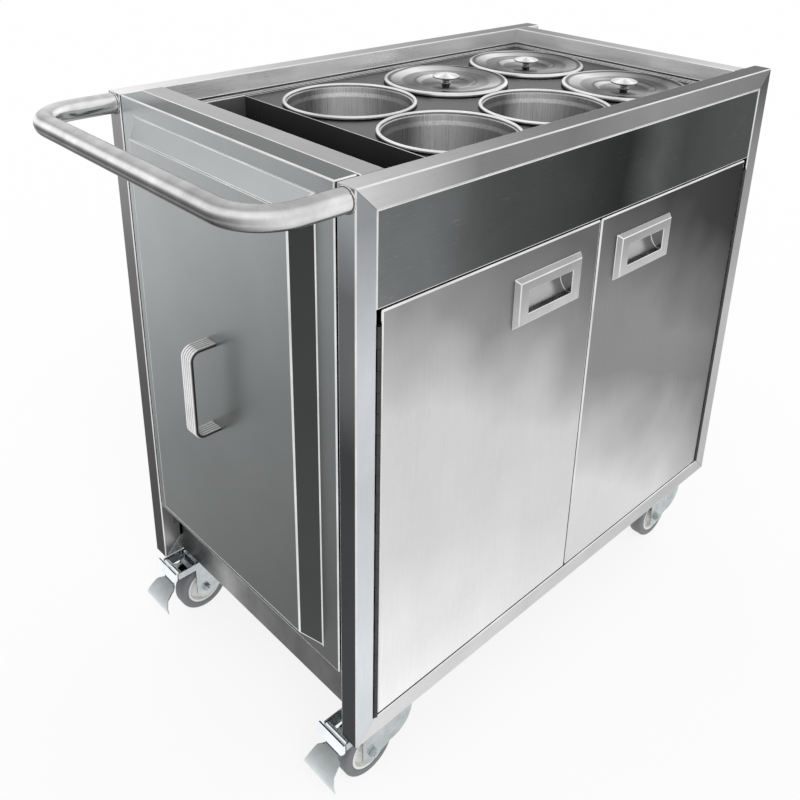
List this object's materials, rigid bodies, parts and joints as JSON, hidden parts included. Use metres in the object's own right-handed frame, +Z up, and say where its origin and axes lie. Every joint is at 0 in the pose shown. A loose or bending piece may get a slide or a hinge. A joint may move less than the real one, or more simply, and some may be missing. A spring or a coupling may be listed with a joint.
{
  "type": "seasoning cart",
  "caption": "Wheeled steel kitchen cart with round lidded pots sunk in its deck, a slot over a pull-out bin, hinged doors, a push handle and swivel casters with brakes.",
  "frame": {"origin": "on the floor, under the middle of the overall box", "axes": "+X along the cart to the end away from the push handle, +Y from the doors to the back, +Z up"},
  "size_m": [1.088, 0.5576, 0.968],
  "materials": {
    "frame_steel": "satin stainless square and round tube with ground welds",
    "sheet_steel": "bright smooth stainless sheet, folded at its edges",
    "fitting_steel": "bright pressed stainless fittings",
    "polished_steel": "polished deep-drawn stainless steel",
    "catch_plastic": "dark moulded plastic round a magnet",
    "zinc_plate": "bluish bright zinc plate on pressed steel",
    "hub_plastic": "pale grey moulded plastic",
    "grey_rubber": "grey moulded rubber"
  },
  "bodies": {
    "cart": {"front_left_post": "frame_steel", "front_right_post": "frame_steel", "rear_left_post": "frame_steel", "rear_right_post": "frame_steel", "long_rails": "frame_steel", "end_cross_rails": "frame_steel", "back_panel": "sheet_steel", "right_end_panel": "sheet_steel", "front_apron": "sheet_steel", "floor_panel": "sheet_steel", "bay_liner": "sheet_steel", "mid_shelf": "sheet_steel", "shelf_supports": "sheet_steel", "top_deck": "sheet_steel", "slot_chute": "sheet_steel", "push_handle": "frame_steel", "hinge_frame_leaves": "fitting_steel", "hinge_pins": "fitting_steel", "door_catches": "catch_plastic", "slide_outer_rails": "fitting_steel", "caster_plates": "zinc_plate", "caster_bolts": "zinc_plate"},
    "left_door": {"left_door_shell": "sheet_steel", "left_door_liner": "sheet_steel", "left_door_pull": "fitting_steel", "left_door_leaf": "fitting_steel"},
    "right_door": {"right_door_shell": "sheet_steel", "right_door_liner": "sheet_steel", "right_door_pull": "fitting_steel", "right_door_leaf": "fitting_steel"},
    "pullout": {"end_panel": "sheet_steel", "pullout_bin": "sheet_steel", "strap_handle": "fitting_steel", "slide_inner_rails": "fitting_steel"},
    "pot_front_left": {"pot_front_left": "polished_steel"},
    "pot_front_middle": {"pot_front_middle": "polished_steel"},
    "pot_front_right": {"pot_front_right": "polished_steel"},
    "lid_front_right": {"lid_front_right": "polished_steel", "knob_front_right": "polished_steel"},
    "pot_rear_left": {"pot_rear_left": "polished_steel"},
    "pot_rear_middle": {"pot_rear_middle": "polished_steel"},
    "lid_rear_middle": {"lid_rear_middle": "polished_steel", "knob_rear_middle": "polished_steel"},
    "pot_rear_right": {"pot_rear_right": "polished_steel"},
    "lid_rear_right": {"lid_rear_right": "polished_steel", "knob_rear_right": "polished_steel"},
    "front_left_swivel": {"front_left_fork": "zinc_plate"},
    "front_left_wheel": {"front_left_hub": "hub_plastic", "front_left_tyre": "grey_rubber"},
    "front_left_brake": {"front_left_pedal": "zinc_plate"},
    "rear_left_swivel": {"rear_left_fork": "zinc_plate"},
    "rear_left_wheel": {"rear_left_hub": "hub_plastic", "rear_left_tyre": "grey_rubber"},
    "rear_left_brake": {"rear_left_pedal": "zinc_plate"},
    "front_right_swivel": {"front_right_fork": "zinc_plate"},
    "front_right_wheel": {"front_right_hub": "hub_plastic", "front_right_tyre": "grey_rubber"},
    "rear_right_swivel": {"rear_right_fork": "zinc_plate"},
    "rear_right_wheel": {"rear_right_hub": "hub_plastic", "rear_right_tyre": "grey_rubber"}
  },
  "joints": [
    {"name": "left_door_hinge", "type": "hinge", "parent": "cart", "child": "left_door", "pos_m": [-0.3697, -0.27025, 0.48], "axis": [0, 0, 1], "range_deg": [-110, 0]},
    {"name": "right_door_hinge", "type": "hinge", "parent": "cart", "child": "right_door", "pos_m": [0.5077, -0.27025, 0.48], "axis": [0, 0, 1], "range_deg": [0, 110]},
    {"name": "pullout_slide", "type": "slide", "parent": "cart", "child": "pullout", "axis": [-1, 0, 0], "range_m": [0, 0.075]},
    {"name": "pot_front_left_lift", "type": "slide", "parent": "cart", "child": "pot_front_left", "axis": [0, 0, 1], "range_m": [0, 0.2]},
    {"name": "pot_front_middle_lift", "type": "slide", "parent": "cart", "child": "pot_front_middle", "axis": [0, 0, 1], "range_m": [0, 0.2]},
    {"name": "pot_front_right_lift", "type": "slide", "parent": "cart", "child": "pot_front_right", "axis": [0, 0, 1], "range_m": [0, 0.2]},
    {"name": "lid_front_right_lift", "type": "slide", "parent": "pot_front_right", "child": "lid_front_right", "axis": [0, 0, 1], "range_m": [0, 0.1]},
    {"name": "pot_rear_left_lift", "type": "slide", "parent": "cart", "child": "pot_rear_left", "axis": [0, 0, 1], "range_m": [0, 0.2]},
    {"name": "pot_rear_middle_lift", "type": "slide", "parent": "cart", "child": "pot_rear_middle", "axis": [0, 0, 1], "range_m": [0, 0.2]},
    {"name": "lid_rear_middle_lift", "type": "slide", "parent": "pot_rear_middle", "child": "lid_rear_middle", "axis": [0, 0, 1], "range_m": [0, 0.1]},
    {"name": "pot_rear_right_lift", "type": "slide", "parent": "cart", "child": "pot_rear_right", "axis": [0, 0, 1], "range_m": [0, 0.2]},
    {"name": "lid_rear_right_lift", "type": "slide", "parent": "pot_rear_right", "child": "lid_rear_right", "axis": [0, 0, 1], "range_m": [0, 0.1]},
    {"name": "front_left_swivel_turn", "type": "hinge", "parent": "cart", "child": "front_left_swivel", "pos_m": [-0.32, -0.22425, 0.115], "axis": [0, 0, 1], "continuous": true},
    {"name": "front_left_wheel_roll", "type": "hinge", "parent": "front_left_swivel", "child": "front_left_wheel", "pos_m": [-0.35, -0.22425, 0.047], "axis": [0, 1, 0], "continuous": true},
    {"name": "front_left_brake_press", "type": "hinge", "parent": "front_left_swivel", "child": "front_left_brake", "pos_m": [-0.402, -0.22425, 0.11], "axis": [0, 1, 0], "range_deg": [-12, 0]},
    {"name": "rear_left_swivel_turn", "type": "hinge", "parent": "cart", "child": "rear_left_swivel", "pos_m": [-0.32, 0.23175, 0.115], "axis": [0, 0, 1], "continuous": true},
    {"name": "rear_left_wheel_roll", "type": "hinge", "parent": "rear_left_swivel", "child": "rear_left_wheel", "pos_m": [-0.35, 0.23175, 0.047], "axis": [0, 1, 0], "continuous": true},
    {"name": "rear_left_brake_press", "type": "hinge", "parent": "rear_left_swivel", "child": "rear_left_brake", "pos_m": [-0.402, 0.23175, 0.11], "axis": [0, 1, 0], "range_deg": [-12, 0]},
    {"name": "front_right_swivel_turn", "type": "hinge", "parent": "cart", "child": "front_right_swivel", "pos_m": [0.458, -0.22425, 0.115], "axis": [0, 0, 1], "continuous": true},
    {"name": "front_right_wheel_roll", "type": "hinge", "parent": "front_right_swivel", "child": "front_right_wheel", "pos_m": [0.428, -0.22425, 0.047], "axis": [0, 1, 0], "continuous": true},
    {"name": "rear_right_swivel_turn", "type": "hinge", "parent": "cart", "child": "rear_right_swivel", "pos_m": [0.458, 0.23175, 0.115], "axis": [0, 0, 1], "continuous": true},
    {"name": "rear_right_wheel_roll", "type": "hinge", "parent": "rear_right_swivel", "child": "rear_right_wheel", "pos_m": [0.428, 0.23175, 0.047], "axis": [0, 1, 0], "continuous": true}
  ]
}
